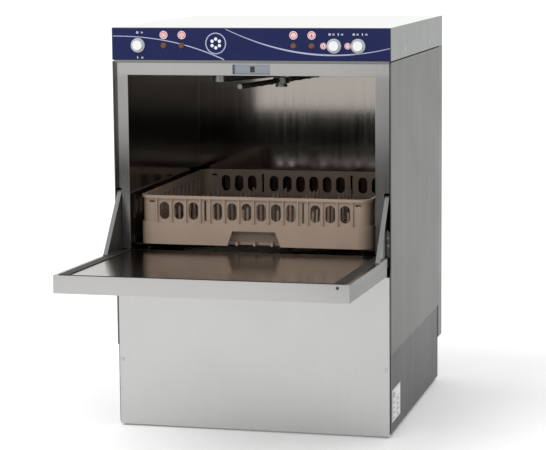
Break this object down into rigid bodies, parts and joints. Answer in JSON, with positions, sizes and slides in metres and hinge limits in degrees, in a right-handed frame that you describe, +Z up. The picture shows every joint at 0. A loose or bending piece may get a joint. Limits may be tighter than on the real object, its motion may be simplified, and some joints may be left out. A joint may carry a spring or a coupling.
{
  "type": "commercial dishwasher",
  "caption": "Undercounter commercial dishwasher: steel cabinet, drop-down door on spring arms, square wash rack, spinning spray arms and a push-button panel.",
  "frame": {"origin": "bottom centre of the bounding box with the door open, on the floor between the feet", "axes": "+Z up, +Y from the open door to the rear cover, +X to the right for someone who faces the rear cover from the door side"},
  "size_m": [0.5944, 1.0416, 0.848],
  "materials": {
    "front_steel": "satin sheet steel with a fine vertical grain",
    "side_steel": "matt sheet steel",
    "base_steel": "dull grey sheet steel",
    "rear_steel": "plain galvanised sheet steel",
    "chamber_steel": "bright sheet steel with water marks",
    "frame_steel": "dark folded steel",
    "fastener_steel": "bright steel fasteners",
    "foot_rubber": "moulded foot",
    "fascia_navy": "semi-gloss dark blue overlay",
    "symbol_ink": "printed symbols",
    "bezel_grey": "light grey moulded ring",
    "button_white": "white push button cap",
    "lamp_amber": "translucent amber lens",
    "label_white": "blank foil label",
    "black_plastic": "moulded black plastic",
    "white_plastic": "moulded white plastic",
    "seal_rubber": "extruded rubber",
    "rack_plastic": "moulded taupe polypropylene",
    "arm_steel": "pressed steel arm",
    "motor_blue": "painted motor body",
    "brass": "machined brass",
    "copper_pipe": "copper pipe",
    "board_green": "circuit board",
    "spring_steel": "drawn spring wire"
  },
  "bodies": {
    "cabinet": {"base_frame": "frame_steel", "base_rear_panel": "rear_steel", "levelling_feet": "foot_rubber", "foot_lock_nuts": "fastener_steel", "side_panel_left": "side_steel", "side_panel_right": "side_steel", "base_panel_left": "base_steel", "base_panel_right": "base_steel", "lower_front_panel": "front_steel", "front_frame": "front_steel", "finger_pocket": "chamber_steel", "door_switch": "black_plastic", "top_cap": "front_steel", "control_fascia": "fascia_navy", "fascia_symbols": "symbol_ink", "button_bezels": "bezel_grey", "indicator_lamps": "lamp_amber", "rear_cover": "rear_steel", "panel_screws": "fastener_steel", "rating_label": "label_white", "wash_chamber": "chamber_steel", "rack_rails": "chamber_steel", "wash_tank": "chamber_steel", "filter_tray": "chamber_steel", "tank_heater": "arm_steel", "drain_outlet": "black_plastic", "wash_pump_casing": "black_plastic", "wash_pump_motor": "motor_blue", "rinse_boiler": "chamber_steel", "inlet_valve": "white_plastic", "inlet_fitting": "brass", "dosing_pumps": "white_plastic", "pressure_switch": "black_plastic", "control_board": "board_green", "contactor": "black_plastic", "cable_gland": "black_plastic", "lower_spindle": "arm_steel", "upper_spindle": "arm_steel", "wash_riser": "arm_steel", "rinse_riser": "copper_pipe", "hinge_brackets": "rear_steel", "hinge_pins": "fastener_steel", "door_springs": "spring_steel"},
    "door": {"door_outer_skin": "front_steel", "door_inner_panel": "chamber_steel", "door_seals": "seal_rubber", "door_stiffener": "rear_steel", "door_arm_left": "arm_steel", "door_arm_right": "arm_steel", "door_screws": "black_plastic"},
    "rack": {"dish_rack": "rack_plastic"},
    "lower_wash": {"lower_wash_arm": "arm_steel"},
    "lower_rinse": {"lower_rinse_arm": "arm_steel"},
    "upper_wash": {"upper_wash_arm": "arm_steel"},
    "upper_rinse": {"upper_rinse_arm": "arm_steel"},
    "power_button": {"power_button": "button_white"},
    "rinse_button": {"rinse_button": "button_white"},
    "wash_button": {"wash_button": "button_white"},
    "impeller": {"pump_impeller": "black_plastic"},
    "standpipe": {"standpipe": "arm_steel"}
  },
  "joints": [
    {"name": "door_hinge", "type": "hinge", "parent": "cabinet", "child": "door", "pos_m": [0, -0.13723, 0.37], "axis": [-1, 0, 0], "range_deg": [0, 88.5], "deforming": ["door_springs"]},
    {"name": "rack_slide", "type": "slide", "parent": "cabinet", "child": "rack", "axis": [0, 1, 0], "range_m": [-0.36, 0]},
    {"name": "lower_wash_spin", "type": "hinge", "parent": "cabinet", "child": "lower_wash", "pos_m": [0, 0.14877, 0.344], "axis": [0, 0, 1], "continuous": true},
    {"name": "lower_rinse_spin", "type": "hinge", "parent": "cabinet", "child": "lower_rinse", "pos_m": [0, 0.14877, 0.366], "axis": [0, 0, 1], "continuous": true},
    {"name": "upper_wash_spin", "type": "hinge", "parent": "cabinet", "child": "upper_wash", "pos_m": [0, 0.14877, 0.731], "axis": [0, 0, 1], "continuous": true},
    {"name": "upper_rinse_spin", "type": "hinge", "parent": "cabinet", "child": "upper_rinse", "pos_m": [0, 0.14877, 0.715], "axis": [0, 0, 1], "continuous": true},
    {"name": "power_button_push", "type": "slide", "parent": "cabinet", "child": "power_button", "axis": [0, 1, 0], "range_m": [0, 0.0035], "stiffness_N_per_m": 600},
    {"name": "rinse_button_push", "type": "slide", "parent": "cabinet", "child": "rinse_button", "axis": [0, 1, 0], "range_m": [0, 0.0035], "stiffness_N_per_m": 600},
    {"name": "wash_button_push", "type": "slide", "parent": "cabinet", "child": "wash_button", "axis": [0, 1, 0], "range_m": [0, 0.0035], "stiffness_N_per_m": 600},
    {"name": "impeller_spin", "type": "hinge", "parent": "cabinet", "child": "impeller", "pos_m": [0.02, 0.21477, 0.13], "axis": [1, 0, 0], "continuous": true},
    {"name": "standpipe_lift", "type": "slide", "parent": "cabinet", "child": "standpipe", "axis": [0, 0, 1], "range_m": [0, 0.04]}
  ]
}
